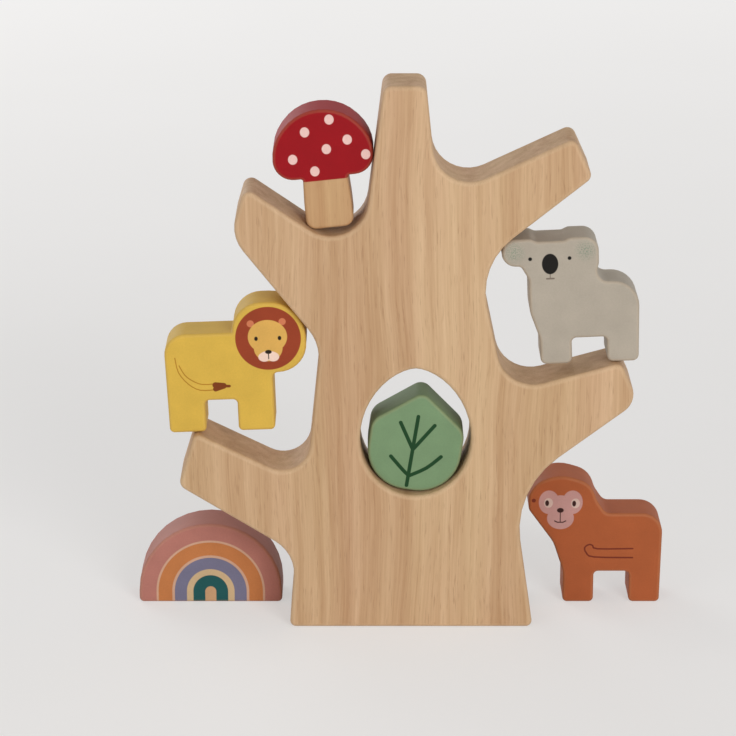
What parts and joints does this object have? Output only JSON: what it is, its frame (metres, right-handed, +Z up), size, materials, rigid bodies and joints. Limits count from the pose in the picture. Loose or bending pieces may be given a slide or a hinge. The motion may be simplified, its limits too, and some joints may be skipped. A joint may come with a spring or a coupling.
{
  "type": "balancing tree game",
  "caption": "Upright wooden tree with four sloping branches and a hollow through its trunk, and loose painted wooden figures to balance on the branches.",
  "frame": {"origin": "on the floor, under the middle of the trunk's flat base", "axes": "+Z up, +X to the right as seen from the front, and the tree's printed side faces -Y"},
  "size_m": [0.2278, 0.07, 0.236],
  "materials": {
    "natural_wood": "fine sanded light hardwood, thin satin clear coat, edges eased",
    "red_paint": "satin water-based paint with printed white dots, bare wood stem",
    "yellow_paint": "satin water-based paint with a printed face and mane",
    "grey_paint": "satin water-based paint with a printed face",
    "leaf_green_paint": "satin water-based paint with printed veins",
    "rose_paint": "satin water-based paint with printed bands",
    "russet_paint": "satin water-based paint with a printed face",
    "olive_green_paint": "satin water-based paint with printed scales",
    "lavender_paint": "satin water-based paint with a printed face"
  },
  "bodies": {
    "tree": {"tree": "natural_wood"},
    "mushroom": {"mushroom": "red_paint"},
    "lion": {"lion": "yellow_paint"},
    "koala": {"koala": "grey_paint"},
    "leaf": {"leaf": "leaf_green_paint"},
    "rainbow": {"rainbow": "rose_paint"},
    "monkey": {"monkey": "russet_paint"},
    "crocodile": {"crocodile": "olive_green_paint"},
    "rabbit": {"rabbit": "lavender_paint"}
  },
  "joints": [
    {"name": "mushroom_lift", "type": "slide", "parent": "tree", "child": "mushroom", "axis": [0, 0, 1], "range_m": [0, 0.08]},
    {"name": "lion_lift", "type": "slide", "parent": "tree", "child": "lion", "axis": [-0.7659, 0, 0.6429], "range_m": [0, 0.08]},
    {"name": "koala_lift", "type": "slide", "parent": "tree", "child": "koala", "axis": [0.9061, 0, 0.423], "range_m": [0, 0.08]},
    {"name": "leaf_pull", "type": "slide", "parent": "tree", "child": "leaf", "axis": [0, -0.9962, 0.0872], "range_m": [0, 0.06]},
    {"name": "rainbow_lift", "type": "slide", "parent": "tree", "child": "rainbow", "axis": [0, 0, 1], "range_m": [0, 0.08]},
    {"name": "monkey_lift", "type": "slide", "parent": "tree", "child": "monkey", "axis": [0, 0, 1], "range_m": [0, 0.08]},
    {"name": "crocodile_lift", "type": "slide", "parent": "tree", "child": "crocodile", "axis": [0, 0, 1], "range_m": [0, 0.08]},
    {"name": "rabbit_lift", "type": "slide", "parent": "tree", "child": "rabbit", "axis": [0, 0, 1], "range_m": [0, 0.08]}
  ]
}
